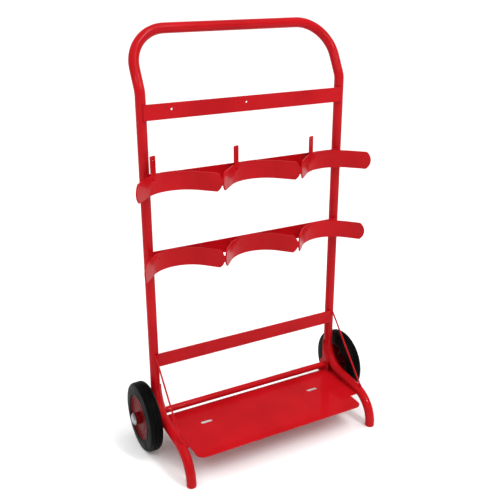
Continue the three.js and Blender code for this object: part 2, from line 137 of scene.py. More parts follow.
floor_shape = bmesh.new()
bmesh.ops.create_grid(floor_shape, x_segments=1, y_segments=1, size=FLOOR_SIZE / 2)
floor = bpy.data.objects.new("floor", bpy.data.meshes.new("floor"))
floor_shape.to_mesh(floor.data)
floor_shape.free()
scene.collection.objects.link(floor)
floor_finish = bpy.data.materials.new("pale floor")
floor_finish.use_nodes = True
floor_shader = floor_finish.node_tree.nodes["Principled BSDF"]
floor_shader.inputs["Base Color"].default_value = FLOOR_COLOUR
floor_shader.inputs["Roughness"].default_value = FLOOR_ROUGHNESS
floor_shader.inputs["Specular IOR Level"].default_value = 0
floor.data.materials.append(floor_finish)

# %% [markdown]
# ## How a finish is made
# A finish is a small network of nodes. Almost every real surface needs the same three things: a colour
# that drifts a little from place to place, a gloss that does the same, and a fine relief. The helper
# below makes those three from noise in the piece's own coordinates, and each finish then adds what
# only it has.

# %% Finish helpers
DULL_SPECULAR = 0.04


def node(tree, kind, values=None, **settings):
    """A new node of that kind, with its settings, and its sockets set or joined to other sockets."""
    made = tree.nodes.new("ShaderNode" + kind)
    for key, value in settings.items():
        setattr(made, key, value)
    for key, value in (values or {}).items():
        if isinstance(value, bpy.types.NodeSocket):
            tree.links.new(value, made.inputs[key])
        else:
            made.inputs[key].default_value = value
    return made


def noise(tree, place, scale, detail=3, roughness=0.5):
    """Noise from 0 to 1, with that many features to the metre."""
    made = node(tree, "TexNoise", {"Vector": place, "Scale": scale, "Detail": detail, "Roughness": roughness})
    return made.outputs["Fac"]


def spread(tree, value, low, high, to_low=0.0, to_high=1.0):
    """A value between low and high, spread out between two others."""
    made = node(tree, "MapRange", {
        "Value": value, "From Min": low, "From Max": high, "To Min": to_low, "To Max": to_high,
    })
    return made.outputs["Result"]


def blend_colours(tree, share, first, second):
    """The first colour where share is 0 and the second where it is 1."""
    made = node(tree, "Mix", {"Factor": share}, data_type="RGBA")
    for socket, colour in ((made.inputs[6], first), (made.inputs[7], second)):
        if isinstance(colour, bpy.types.NodeSocket):
            tree.links.new(colour, socket)
        else:
            socket.default_value = (*colour, 1)
    return made.outputs[2]


def combine(tree, how, first, second):
    """Two values put together by one sum: MULTIPLY, ADD, MAXIMUM and so on."""
    return node(tree, "Math", {0: first, 1: second}, operation=how).outputs[0]


def relief(tree, *layers):
    """Bumps laid one over the other. Each layer is (height, depth in metres, strength)."""
    normal = None
    for height, depth, strength in layers:
        bump = node(tree, "Bump", {"Height": height, "Distance": depth, "Strength": strength})
        if normal:
            tree.links.new(normal, bump.inputs["Normal"])
        normal = bump.outputs["Normal"]
    return normal


def worn_edges(tree, width, place):
    """1 on rubbed outer edges and 0 elsewhere, broken up by noise."""
    rounded = node(tree, "Bevel", {"Radius": width}, samples=4)
    flat = node(tree, "NewGeometry")
    turn = node(
        tree, "VectorMath",
        {0: rounded.outputs["Normal"], 1: flat.outputs["Normal"]}, operation="DOT_PRODUCT",
    )
    edge = spread(tree, turn.outputs["Value"], 0.995, 0.93)
    patchy = spread(tree, noise(tree, place, 38, 4, 0.6), 0.48, 0.66)
    return combine(tree, "MULTIPLY", edge, patchy)


def finish(name):
    """An empty finish: its material, node tree, shader, and the piece's own coordinates."""
    material = bpy.data.materials.new(name)
    material.use_nodes = True
    tree = material.node_tree
    place = node(tree, "TexCoord").outputs["Object"]
    return material, tree, tree.nodes["Principled BSDF"], place


def wire(tree, shader, **sockets):
    """Joins outputs to the shader's sockets, named with _ for a space."""
    for key, output in sockets.items():
        tree.links.new(output, shader.inputs[key.replace("_", " ")])


# %% [markdown]
# ## Red enamel
# The frame is sprayed with a semi-gloss enamel. Sprayed paint is never quite even: its colour drifts
# over a hand's width, its surface keeps a faint orange peel a few millimetres across, and on outer
# edges it thins and rubs to a paler, duller red. A clear coat on the shader gives the sharp reflection
# that sits over the softer one.

# %% Red enamel
ENAMEL_DEEP = (0.345, 0.0028, 0.0056)
ENAMEL_BRIGHT = (0.405, 0.0040, 0.0074)
ENAMEL_RUBBED = (0.48, 0.026, 0.027)
COAT_WEIGHT, COAT_ROUGHNESS = 0.12, 0.06


def red_enamel():
    material, tree, shader, place = finish("red enamel")
    drift = spread(tree, noise(tree, place, 9, 2), 0.35, 0.65)
    mottle = spread(tree, noise(tree, place, 55, 3), 0.3, 0.7)
    colour = blend_colours(tree, drift, ENAMEL_DEEP, ENAMEL_BRIGHT)
    rubbed = worn_edges(tree, 0.0014, place)
    colour = blend_colours(tree, combine(tree, "MULTIPLY", rubbed, 0.55), colour, ENAMEL_RUBBED)
    gloss = spread(tree, mottle, 0, 1, 0.29, 0.37)
    gloss = combine(tree, "ADD", gloss, combine(tree, "MULTIPLY", rubbed, 0.2))
    orange_peel = noise(tree, place, 330, 2)
    specks = noise(tree, place, 1400, 1)
    wire(
        tree, shader, Base_Color=colour, Roughness=gloss,
        Normal=relief(tree, (orange_peel, 0.00025, 0.35), (specks, 0.00006, 0.25)),
    )
    shader.inputs["Specular IOR Level"].default_value = DULL_SPECULAR
    shader.inputs["Coat Weight"].default_value = COAT_WEIGHT
    shader.inputs["Coat Roughness"].default_value = COAT_ROUGHNESS
    return material


enamel = red_enamel()
print("finish:", enamel.name)

# %% [markdown]
# ## Rubber, plastic, zinc and steel
# Tyre rubber is nearly black and dull, with a greyer bloom where it has lain, and the mould leaves fine
# rings round it. Moulded plastic has an even colour and a fine grain. Zinc plating is a bright metal
# with a cloudy, slightly grained surface, and drawn steel shows scratches along its length.

# %% Rubber
RUBBER_DARK, RUBBER_BLOOM = (0.0012, 0.0013, 0.0014), (0.0028, 0.0028, 0.0027)
RUBBER_RUBBED = (0.012, 0.012, 0.0115)


def tyre_rubber():
    material, tree, shader, place = finish("tyre rubber")
    bloom = spread(tree, noise(tree, place, 26, 4, 0.6), 0.42, 0.72)
    colour = blend_colours(tree, bloom, RUBBER_DARK, RUBBER_BLOOM)
    rubbed = worn_edges(tree, 0.002, place)
    colour = blend_colours(tree, combine(tree, "MULTIPLY", rubbed, 0.5), colour, RUBBER_RUBBED)
    rings = node(tree, "TexWave", {"Vector": place, "Scale": 210, "Distortion": 0.3}, bands_direction="X")
    grain = noise(tree, place, 900, 3)
    gloss = spread(tree, bloom, 0, 1, 0.42, 0.60)
    wire(
        tree, shader, Base_Color=colour, Roughness=gloss,
        Normal=relief(tree, (rings.outputs["Fac"], 0.00015, 0.35), (grain, 0.00015, 0.4)),
    )
    shader.inputs["Specular IOR Level"].default_value = DULL_SPECULAR
    return material


# %% Plastics
def moulded_plastic(name, dark, light, gloss):
    material, tree, shader, place = finish(name)
    drift = spread(tree, noise(tree, place, 30, 3), 0.35, 0.7)
    colour = blend_colours(tree, drift, dark, light)
    rubbed = worn_edges(tree, 0.0012, place)
    paler = tuple(min(1, 2.2 * c + 0.01) for c in light)
    colour = blend_colours(tree, combine(tree, "MULTIPLY", rubbed, 0.4), colour, paler)
    grain = noise(tree, place, 1100, 3)
    sink = noise(tree, place, 60, 2)
    wire(
        tree, shader, Base_Color=colour, Roughness=spread(tree, drift, 0, 1, gloss, gloss + 0.12),
        Normal=relief(tree, (sink, 0.0006, 0.15), (grain, 0.00012, 0.35)),
    )
    shader.inputs["Specular IOR Level"].default_value = DULL_SPECULAR
    return material


# %% Metals
def bare_metal(name, dark, light, gloss, stretch):
    """A metal whose fine marks are drawn out along X by that factor."""
    material, tree, shader, place = finish(name)
    along = node(tree, "Mapping", {"Vector": place, "Scale": (1 / stretch, 1, 1)}).outputs["Vector"]
    cloud = spread(tree, noise(tree, place, 120, 4, 0.65), 0.3, 0.7)
    marks = noise(tree, along, 900, 3)
    colour = blend_colours(tree, cloud, dark, light)
    wire(
        tree, shader, Base_Color=colour, Roughness=spread(tree, cloud, 0, 1, gloss + 0.12, gloss),
        Normal=relief(tree, (marks, 0.0001, 0.3)),
    )
    shader.inputs["Metallic"].default_value = 1
    return material


rubber = tyre_rubber()
rim_plastic = moulded_plastic("dark red plastic", (0.095, 0.0012, 0.0024), (0.130, 0.0019, 0.0034), 0.34)
plug_plastic = moulded_plastic("red plastic", (0.42, 0.006, 0.010), (0.48, 0.009, 0.014), 0.40)
bush_plastic = moulded_plastic("black plastic", (0.012, 0.012, 0.013), (0.022, 0.022, 0.023), 0.45)
zinc = bare_metal("zinc plate", (0.24, 0.25, 0.26), (0.38, 0.39, 0.40), 0.26, 2)
steel = bare_metal("drawn steel", (0.36, 0.37, 0.38), (0.52, 0.53, 0.54), 0.30, 30)
print("finishes:", [m.name for m in (rubber, rim_plastic, plug_plastic, bush_plastic, zinc, steel)])

# %% [markdown]
# ## From shape to piece
# Every piece ends the same way. Its faces are shaded smooth except across sharp edges, it gets its
# finish, it rides on the body that carries it, and it stands in for its plain part. A Weighted Normal
# modifier keeps broad faces looking flat beside their narrow rounded edges.

# %% Finishing a piece
SHARP_ANGLE = radians(38)


def make_piece(name, shape, material, body, slot_name, *nodes_replaced, weighted=True):
    """Turns a bmesh into a shaded piece that rides on body and stands for the named nodes."""
    for face in shape.faces:
        face.smooth = True
    for edge in shape.edges:
        edge.smooth = len(edge.link_faces) == 2 and edge.calc_face_angle(0) < SHARP_ANGLE
    piece = bpy.data.objects.new(name, bpy.data.meshes.new(name))
    shape.to_mesh(piece.data)
    shape.free()
    piece.data.materials.append(material)
    scene.collection.objects.link(piece)
    if weighted:
        modifier = piece.modifiers.new("even shading", "WEIGHTED_NORMAL")
        modifier.keep_sharp = True
    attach(piece, body)
    if nodes_replaced:
        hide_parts(*nodes_replaced)
    return piece


# %% [markdown]
# ## Sizes read from the frame
# The lesson never repeats a size that the frame already holds. A foot plug is as wide as the tube and
# sits under it, so its box gives the tube's radius, the spread of the uprights and the place of the
# feet. A bar lies against the front of the uprights, so its back face gives their depth.

# %% Sizes
SEAM = 0.0003

plug_low, plug_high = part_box("right_foot_plug")
bar_low, bar_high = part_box("top_bar")
tube_low, tube_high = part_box("frame_tube")
tube_radius = (plug_high.x - plug_low.x) / 2
upright_x = (plug_low.x + plug_high.x) / 2
upright_y = bar_high.y + SEAM + tube_radius
foot_y = (plug_low.y + plug_high.y) / 2
print("tube", round(2000 * tube_radius, 2), "mm, uprights at", round(upright_x, 4))

# %% [markdown]
# ## The frame tube
# One tube makes both legs, both uprights and the handle. A tube bender feeds the tube straight, then
# turns it about a centre, and the same two steps build it here: a ring of edges is pushed out with
# extrude, and swung round a bend with spin. The straight runs need no extra edges, so all the detail
# goes into the bends.

# %% Frame tube
TUBE_WALL = 0.0016
TUBE_FACETS = 40
BEND_STEP = radians(4)
LEG_CORNER_HEIGHT = 0.10545
LEG_FALL = radians(5)
LEAN_HEIGHT = 1.011
LEAN = radians(28)
FRONT_BEND, REAR_BEND, LEAN_BEND, HANDLE_BEND = 0.083, 0.082, 0.038, 0.101
TUBE_FOOT = tube_low.z
OPEN_BORE = 0.004


def split_geometry(geometry):
    """The vertices in a list, and its edges that lie wholly among them."""
    verts = [g for g in geometry if isinstance(g, bmesh.types.BMVert)]
    edges = [g for g in geometry if isinstance(g, bmesh.types.BMEdge)]
    return verts, [e for e in edges if all(v in verts for v in e.verts)]


def push_ring(shape, ring, offset):
    """Extrudes a ring of edges along offset and gives the new ring."""
    ring = split_geometry(bmesh.ops.extrude_edge_only(shape, edges=ring[1])["geom"])
    bmesh.ops.translate(shape, verts=ring[0], vec=offset)
    return ring


def swing_ring(shape, ring, centre, axis, angle):
    """Spins a ring of edges about a centre and gives the last ring."""
    steps = max(2, round(angle / BEND_STEP))
    spun = bmesh.ops.spin(
        shape, geom=ring[0] + ring[1], cent=centre, axis=axis, dvec=(0, 0, 0), angle=angle, steps=steps,
    )
    return split_geometry(spun["geom_last"])


def bend_tube(shape, ring, corners, radii):
    """Feeds a ring of edges from the first corner to the last, with a round bend at each between."""
    ends = [0] * len(corners)
    for i in range(1, len(corners) - 1):
        turn = (corners[i] - corners[i - 1]).angle(corners[i + 1] - corners[i])
        ends[i] = radii[i] * tan(turn / 2)
    for i in range(1, len(corners)):
        run = corners[i] - corners[i - 1]
        heading = run.normalized()
        ring = push_ring(shape, ring, heading * (run.length - ends[i - 1] - ends[i]))
        if i < len(corners) - 1:
            onward = (corners[i + 1] - corners[i]).normalized()
            axis = heading.cross(onward).normalized()
            centre = corners[i] - heading * ends[i] + axis.cross(heading) * radii[i]
            ring = swing_ring(shape, ring, centre, axis, heading.angle(onward))
    return ring


def close_tube_end(shape, ring, centre):
    """Turns an open foot into a rim, a short bore and a floor."""
    inner_share = 1 - TUBE_WALL / tube_radius
    lip = push_ring(shape, ring, (0, 0, 0))
    bmesh.ops.scale(shape, verts=lip[0], vec=(inner_share,) * 3, space=Matrix.Translation(-centre))
    bore = push_ring(shape, lip, (0, 0, OPEN_BORE))
    bmesh.ops.contextual_create(shape, geom=bore[1])


handle_y = upright_y + (tube_high.z - tube_radius - LEAN_HEIGHT) * tan(LEAN)
foot_corner = LEG_CORNER_HEIGHT - (upright_y - foot_y) * tan(LEG_FALL)
right_half = [
    Vector((upright_x, foot_y, TUBE_FOOT)),
    Vector((upright_x, foot_y, foot_corner)),
    Vector((upright_x, upright_y, LEG_CORNER_HEIGHT)),
    Vector((upright_x, upright_y, LEAN_HEIGHT)),
    Vector((upright_x, handle_y, tube_high.z - tube_radius)),
]
left_half = [Vector((-p.x, p.y, p.z)) for p in reversed(right_half)]
half_radii = [0, FRONT_BEND, REAR_BEND, LEAN_BEND, HANDLE_BEND]

tube = bmesh.new()
foot_place = Matrix.Translation(right_half[0])
bmesh.ops.create_circle(tube, radius=tube_radius, segments=TUBE_FACETS, matrix=foot_place)
first_ring = (tube.verts[:], tube.edges[:])
last_ring = bend_tube(tube, first_ring, right_half + left_half, half_radii + half_radii[::-1])
close_tube_end(tube, first_ring, right_half[0])
close_tube_end(tube, last_ring, left_half[-1])
bmesh.ops.recalc_face_normals(tube, faces=tube.faces)
print("frame tube faces:", len(tube.faces))
make_piece("bent_frame_tube", tube, enamel, "frame", "red_paint", "frame_tube", weighted=False)

# %% [markdown]
# ## Sheet and bar blanks
# Bars, saddles, brackets and the platform all start as flat blanks. A blank is drawn as one face with
# its corners rounded by a vertex bevel, round holes are added as rings of edges, and a fill closes the
# metal between them. It is then given its thickness, and its sharp rims are broken with a narrow bevel
# as a file would do.

# %% Blanks
HOLE_FACETS = 20
SAME_PLACE = 1e-6
RIM_ANGLE = radians(60)


def ring_edges(shape, centre, radius, stretch):
    """A ring of edges round a hole. stretch pulls its halves apart along X into a slot."""
    place = Matrix.Translation((*centre, 0))
    ring = bmesh.ops.create_circle(shape, radius=radius, segments=HOLE_FACETS, matrix=place)["verts"]
    for side in (-1, 1):
        half = [v for v in ring if (v.co.x - centre[0]) * side > SAME_PLACE]
        bmesh.ops.translate(shape, verts=half, vec=(side * stretch / 2, 0, 0))


def blank(corners, thickness, holes=(), rim=0.0005, facets=7):
    """A flat blank in X and Y with corners (x, y, rounding), and holes (centre, radius, stretch)."""
    shape = bmesh.new()
    outline = [shape.verts.new((x, y, 0)) for x, y, _ in corners]
    shape.faces.new(outline)
    for vert, (*_, rounding) in zip(outline, corners):
        if rounding:
            bmesh.ops.bevel(
                shape, geom=[vert], offset=rounding, offset_type="OFFSET", affect="VERTICES",
                segments=facets, profile=0.5, material=-1,
            )
    if holes:
        bmesh.ops.delete(shape, geom=shape.faces[:], context="FACES_ONLY")
        for centre, radius, stretch in holes:
            ring_edges(shape, centre, radius, stretch)
        bmesh.ops.triangle_fill(shape, use_beauty=True, edges=shape.edges[:], normal=(0, 0, 1))
        bmesh.ops.dissolve_limit(shape, angle_limit=radians(1), verts=shape.verts[:], edges=shape.edges[:])
    pushed = bmesh.ops.extrude_face_region(shape, geom=shape.faces[:])["geom"]
    bmesh.ops.translate(shape, verts=split_geometry(pushed)[0], vec=(0, 0, thickness))
    bmesh.ops.recalc_face_normals(shape, faces=shape.faces)
    rims = [e for e in shape.edges if e.calc_face_angle(0) > RIM_ANGLE]
    bmesh.ops.bevel(
        shape, geom=rims, offset=rim, affect="EDGES", segments=2, profile=0.5, material=-1,
        clamp_overlap=True,
    )
    return shape


def stand_up(shape, back_y):
    """Stands a blank drawn in X and Y upright, its back face at back_y and its thickness to the front."""
    shape.transform(Matrix(((1, 0, 0, 0), (0, 0, -1, back_y), (0, 1, 0, 0), (0, 0, 0, 1))))
    return shape


# %% [markdown]
# ## Flat bars
# Four bars cross the uprights: one under the handle, one behind each row of saddles, and one above the
# platform. They are cut from the same rolled stock, so they share one function. Rolled bar has slightly
# rounded long edges, and a sawn end is broken more lightly.

# %% Flat bars
BAR_HOLE_RADIUS = 0.003
BAR_HOLE_PLACES = (-0.220, -0.008)
BAR_HOLE_LIFT = 0.004
BAR_CORNER, BAR_RIM = 0.001, 0.0008


def flat_bar(node_name, piece_name, holes=()):
    low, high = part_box(node_name)
    places = ((low.x, low.z), (high.x, low.z), (high.x, high.z), (low.x, high.z))
    corners = [(x, z, BAR_CORNER) for x, z in places]
    shape = blank(corners, high.y - low.y, holes, rim=BAR_RIM, facets=2)
    return make_piece(piece_name, stand_up(shape, high.y), enamel, "frame", "red_paint", node_name)


top_centre = (bar_low.z + bar_high.z) / 2 + BAR_HOLE_LIFT
top_holes = [((x, top_centre), BAR_HOLE_RADIUS, 0) for x in BAR_HOLE_PLACES]
flat_bar("top_bar", "top_flat_bar", top_holes)
flat_bar("upper_cradle_bar", "upper_cradle_flat_bar")
flat_bar("lower_cradle_bar", "lower_cradle_flat_bar")
flat_bar("lower_bar", "lower_flat_bar")

# %% [markdown]
# ## Saddles
# A saddle is a strip of flat stock rolled round the cylinder it will hold, with two straight wings. It is
# made here in the order of the workshop: the blank is cut flat with its round ends, its hole and, in
# the upper row, the tab that stands up behind the cylinder. Then it is cut into narrow bands so that
# it can curve, and every point is moved from the flat to the rolled shape. A strip drawn flat has its
# true length, so holes and corners stay round after the rolling.

# %% Saddles
SADDLE_RADIUS = 0.100
SADDLE_THICKNESS = 0.004
SADDLE_END_RADIUS = 0.030
END_FACETS = 20
SADDLE_HOLE_RADIUS = 0.0025
BAND = 0.004
TAB_WIDTH = 0.018
TAB_CORNER = 0.0025
TAB_ROOT = 0.0015
TAB_HOLE_RADIUS = 0.0025
TAB_HOLE_DROP = 0.012
BAYS = ("left", "middle", "right")
ROWS = {
    "upper": {"height": 0.0495, "wrap": radians(45.5), "hole": -0.046, "drop": 0.0125, "tab": True},
    "lower": {"height": 0.050, "wrap": radians(49), "hole": -0.048, "drop": 0.014, "tab": False},
}


def rolled(point, row, arc):
    """Where a point of the flat strip goes: X is along it, Y its height and Z its depth to the front."""
    along = min(abs(point.x), arc)
    beyond = abs(point.x) - along
    angle = along / SADDLE_RADIUS
    radius = SADDLE_RADIUS + SADDLE_THICKNESS / 2 - point.z
    across = radius * sin(angle) + beyond * cos(row["wrap"])
    depth = radius * cos(angle) - beyond * sin(row["wrap"])
    return Vector((across if point.x > 0 else -across, depth, point.y))


def round_end(side, half, bottom, top):
    """The strip's end, one arc from its lower to its upper edge on the right and back on the left."""
    swing = asin((top - bottom) / 2 / SADDLE_END_RADIUS)
    turns = [swing * (2 * k / END_FACETS - 1) for k in range(END_FACETS + 1)]
    x, y, reach = side * (half - SADDLE_END_RADIUS), (bottom + top) / 2, side * SADDLE_END_RADIUS
    return [(x + reach * cos(t), y + reach * sin(t), 0) for t in turns]


def saddle_corners(row, half, bottom, top, tip):
    """The flat outline, anticlockwise from its lower right corner."""
    corners = round_end(1, half, bottom, top)
    if row["tab"]:
        middle = SADDLE_RADIUS * asin(row["hole"] / SADDLE_RADIUS)
        right, left = middle + TAB_WIDTH / 2, middle - TAB_WIDTH / 2
        corners += [(right, top, TAB_ROOT), (right, tip, TAB_CORNER)]
        corners += [(left, tip, TAB_CORNER), (left, top, TAB_ROOT)]
    return corners + round_end(-1, half, bottom, top)


def saddle(level, bay):
    row = ROWS[level]
    low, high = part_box(f"{level}_saddle_{bay}")
    bar_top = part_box(f"{level}_cradle_bar")[1].z
    reach = (high.x - low.x) / 2 - SADDLE_THICKNESS / 2 * sin(row["wrap"])
    arc = SADDLE_RADIUS * row["wrap"]
    half = arc + (reach - SADDLE_RADIUS * sin(row["wrap"])) / cos(row["wrap"])
    hole_along = SADDLE_RADIUS * asin(row["hole"] / SADDLE_RADIUS)
    holes = [((hole_along, bar_top - row["drop"]), SADDLE_HOLE_RADIUS, 0)]
    if row["tab"]:
        holes.append(((hole_along, high.z - TAB_HOLE_DROP), TAB_HOLE_RADIUS, 0))
    corners = saddle_corners(row, half, bar_top - row["height"], bar_top, high.z)
    shape = blank(corners, SADDLE_THICKNESS, holes, facets=10)
    for k in range(int(-arc / BAND), int(arc / BAND) + 1):
        parts = shape.verts[:] + shape.edges[:] + shape.faces[:]
        bmesh.ops.bisect_plane(shape, geom=parts, plane_co=(k * BAND, 0, 0), plane_no=(1, 0, 0))
    middle = Vector(((low.x + high.x) / 2, high.y - SADDLE_RADIUS - SADDLE_THICKNESS / 2, 0))
    for vert in shape.verts:
        vert.co = rolled(vert.co, row, arc) + middle
    return make_piece(f"{level}_{bay}_saddle", shape, enamel, "frame", "red_paint", f"{level}_saddle_{bay}")


for level in ROWS:
    for bay in BAYS:
        piece = saddle(level, bay)
        print(piece.name, len(piece.data.polygons), "faces")

# %% [markdown]
# ## Platform
# The platform is one cut sheet. It fills the space between the legs, steps in where they bend down, and
# has round front corners so that nobody catches a shin on it. Two slots let a strap through.

# %% Platform
SHEET_SHIFT = -0.007
FRONT_HALF = 0.2655
FRONT_CORNER = 0.022
NOTCH_Y = upright_y - 0.181
TUCK, TUCK_FRONT_Y, TUCK_REAR_Y = 0.005, upright_y - 0.105, upright_y - 0.092
EAR_FRONT_Y = upright_y - 0.084
RECESS_HALF, RECESS_Y, RECESS_CORNER = 0.267, upright_y - 0.012, 0.006
SMALL_CORNER = 0.0015
SLOT_LENGTH, SLOT_WIDTH = 0.035, 0.013
SLOT_PLACES = (-0.1815, 0.1755)
SLOT_Y = upright_y - 0.095
SHEET_RIM = 0.0007

sheet_low, sheet_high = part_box("platform")
beside_leg = upright_x - tube_radius - SEAM


def sheet_side(side):
    """The outline from front to back, 1 on the right and -1 on the left."""
    front, recess = SHEET_SHIFT + side * FRONT_HALF, SHEET_SHIFT + side * RECESS_HALF
    return [
        (front, sheet_low.y, FRONT_CORNER),
        (front, NOTCH_Y, SMALL_CORNER),
        (side * beside_leg, NOTCH_Y, SMALL_CORNER),
        (side * (beside_leg + TUCK), TUCK_FRONT_Y, SMALL_CORNER),
        (side * (beside_leg + TUCK), TUCK_REAR_Y, SMALL_CORNER),
        (side * sheet_high.x, EAR_FRONT_Y, SMALL_CORNER),
        (side * sheet_high.x, sheet_high.y, SMALL_CORNER),
        (recess, sheet_high.y, SMALL_CORNER),
        (recess, RECESS_Y, RECESS_CORNER),
    ]


slots = [((x, SLOT_Y), SLOT_WIDTH / 2, SLOT_LENGTH - SLOT_WIDTH) for x in SLOT_PLACES]
sheet = blank(sheet_side(1) + sheet_side(-1)[::-1], sheet_high.z - sheet_low.z, slots, rim=SHEET_RIM)
bmesh.ops.translate(sheet, verts=sheet.verts, vec=(0, 0, sheet_low.z))
make_piece("platform_sheet", sheet, enamel, "frame", "red_paint", "platform")
print("platform:", round(1000 * (sheet_high.x - sheet_low.x)), "mm wide")

# %% [markdown]
# ## Turned pieces
# Tyres, rims, washers, caps, bushes, plugs and the axle are all round, so each is half of its section
# spun about an axis. The section is a face whose corners are rounded by a vertex bevel, exactly as for a
# blank, and only its outline is kept for the spin. Where the outline lies on the axis it is dropped, and
# the points that meet there are merged.

# %% Turning
SLEEVE_EDGE = 0.0004
ON_AXIS = 1e-7
AXLE_FACETS, WHEEL_FACETS, TYRE_FACETS, RING_FACETS, CAP_FACETS = 40, 96, 120, 48, 64


def turned(corners, facets, segments=5):
    """Spins a section of (along the axis, radius, rounding) about the X axis."""
    shape = bmesh.new()
    outline = [shape.verts.new((along, 0, radius)) for along, radius, _ in corners]
    shape.faces.new(outline)
    for vert, (*_, rounding) in zip(outline, corners):
        if rounding:
            bmesh.ops.bevel(
                shape, geom=[vert], offset=rounding, offset_type="OFFSET", affect="VERTICES",
                segments=segments, profile=0.5, material=-1,
            )
    bmesh.ops.delete(shape, geom=shape.faces[:], context="FACES_ONLY")
    on_axis = [e for e in shape.edges if all(v.co.z < ON_AXIS for v in e.verts)]
    bmesh.ops.delete(shape, geom=on_axis, context="EDGES")
    bmesh.ops.spin(
        shape, geom=shape.verts[:] + shape.edges[:], cent=(0, 0, 0), axis=(1, 0, 0), dvec=(0, 0, 0),
        angle=2 * pi, steps=facets, use_merge=True,
    )
    bmesh.ops.remove_doubles(shape, verts=shape.verts, dist=SAME_PLACE)
    bmesh.ops.recalc_face_normals(shape, faces=shape.faces)
    return shape


def sleeve(start, end, inner, outer):
    """The section of a ring or a tube."""
    places = ((start, inner), (start, outer), (end, outer), (end, inner))
    return [(along, radius, SLEEVE_EDGE) for along, radius in places]


def rod(start, end, radius, rounding):
    """The section of a solid rod."""
    return [(start, 0, 0), (start, radius, rounding), (end, radius, rounding), (end, 0, 0)]


axle_low, axle_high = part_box("axle_tube")
axle_y, axle_z = (axle_low.y + axle_high.y) / 2, (axle_low.z + axle_high.z) / 2


def on_axle(shape, side=1):
    """Moves a turned shape onto the axle. side -1 mirrors it to the left."""
    if side < 0:
        bmesh.ops.scale(shape, verts=shape.verts, vec=(-1, 1, 1))
        bmesh.ops.recalc_face_normals(shape, faces=shape.faces)
    bmesh.ops.translate(shape, verts=shape.verts, vec=(0, axle_y, axle_z))
    return shape


# %% [markdown]
# ## Axle
# A thin tube joins the two brackets, and the steel rod inside it sticks out at both ends to carry the
# wheels.

# %% Axle tube and rod
AXLE_TUBE_WALL = 0.0012
ROD_EDGE = 0.001

axle_radius = axle_high.z - axle_z
tube_section = sleeve(axle_low.x, axle_high.x, axle_radius - AXLE_TUBE_WALL, axle_radius)
tube_shape = on_axle(turned(tube_section, AXLE_FACETS, 2))
make_piece("axle_tube_long", tube_shape, enamel, "frame", "red_paint", "axle_tube")

rod_low, rod_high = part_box("axle_rod")
rod_radius = (rod_high.z - rod_low.z) / 2
rod_section = rod(rod_low.x, rod_high.x, rod_radius, ROD_EDGE)
rod_shape = on_axle(turned(rod_section, AXLE_FACETS, 3))
make_piece("axle_rod_steel", rod_shape, steel, "frame", "axle_steel", "axle_rod")
print("axle tube", round(2000 * axle_radius, 1), "mm, rod", round(2000 * rod_radius, 1), "mm")

# %% [markdown]
# ## Axle brackets
# A gusset beside each leg ties three things together: the axle tube passes through its eye, its front edge
# follows the bend of the leg up to the upright, and its foot stands on the platform.

# %% Axle brackets
GUSSET_HEEL = 0.010
GUSSET_SHOULDER, GUSSET_WAIST = 0.006, 0.018
GUSSET_WAIST_Y = upright_y + 0.003
GUSSET_CORNER, GUSSET_BEND_CORNER, GUSSET_RIM = 0.001, 0.002, 0.0008
BEND_TOP = LEG_CORNER_HEIGHT + REAR_BEND * tan((pi / 2 - LEG_FALL) / 2)


def leg_bend(turn):
    """Y and Z of the leg's centreline, that far round its rear bend from the upright."""
    return upright_y - REAR_BEND * (1 - cos(turn)), BEND_TOP - REAR_BEND * sin(turn)


def axle_bracket(name):
    low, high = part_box(f"{name}_axle_bracket")
    nose_turn = acos(1 - (upright_y - low.y) / REAR_BEND)
    along_leg = [leg_bend(nose_turn * k / END_FACETS) for k in range(END_FACETS + 1)]
    corners = [
        (low.y, low.z, GUSSET_CORNER),
        (high.y, low.z, GUSSET_HEEL),
        (high.y, axle_z + GUSSET_SHOULDER, GUSSET_BEND_CORNER),
        (GUSSET_WAIST_Y, axle_z + GUSSET_WAIST, GUSSET_BEND_CORNER),
        (GUSSET_WAIST_Y, high.z, GUSSET_CORNER),
        (upright_y, high.z, GUSSET_CORNER),
        *((y, z, 0) for y, z in along_leg),
    ]
    hole = [((axle_y, axle_z), axle_radius + SEAM, 0)]
    shape = blank(corners, high.x - low.x, hole, rim=GUSSET_RIM)
    shape.transform(Matrix(((0, 0, 1, low.x), (1, 0, 0, 0), (0, 1, 0, 0), (0, 0, 0, 1))))
    return make_piece(f"{name}_axle_gusset", shape, enamel, "frame", "red_paint", f"{name}_axle_bracket")


# %% [markdown]
# ## Stay rods
# A thin round rod braces each leg: it runs from the front of the upright, beside the lower bar, down to
# the top of the leg. It is turned along X like the other round pieces and then leaned over in place.

# %% Stay rods
STAY_EDGE = 0.0008
STAY_FACETS = 24
LEAN_ROUNDS = 4


def stay_rod(name):
    low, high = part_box(f"{name}_stay_rod")
    radius = (high.x - low.x) / 2
    middle = (low + high) / 2
    lean = atan2(high.z - low.z, high.y - low.y)
    for _ in range(LEAN_ROUNDS):
        length = (high.z - low.z - 2 * radius * cos(lean)) / sin(lean)
        lean = atan2(length * sin(lean), high.y - low.y - 2 * radius * sin(lean))
    shape = turned(rod(-length / 2, length / 2, radius, STAY_EDGE), STAY_FACETS, 3)
    turn = Matrix.Rotation(pi / 2, 4, "Z")
    tilt = Matrix.Rotation(lean, 4, "X")
    shape.transform(Matrix.Translation(middle) @ tilt @ turn)
    print(name, "stay rod:", round(1000 * length, 1), "mm at", round(degrees(lean), 1), "degrees")
    return make_piece(f"{name}_stay", shape, enamel, "frame", "red_paint", f"{name}_stay_rod")


# %% [markdown]
# ## Foot plugs
# A moulded plug closes each foot of the tube. Its head is as wide as the tube, a little domed and worn
# round at its edge, and its stem is hidden inside.

# %% Foot plugs
PLUG_DOME, PLUG_SHOULDER, PLUG_TIP = 0.0025, 0.0004, 0.001


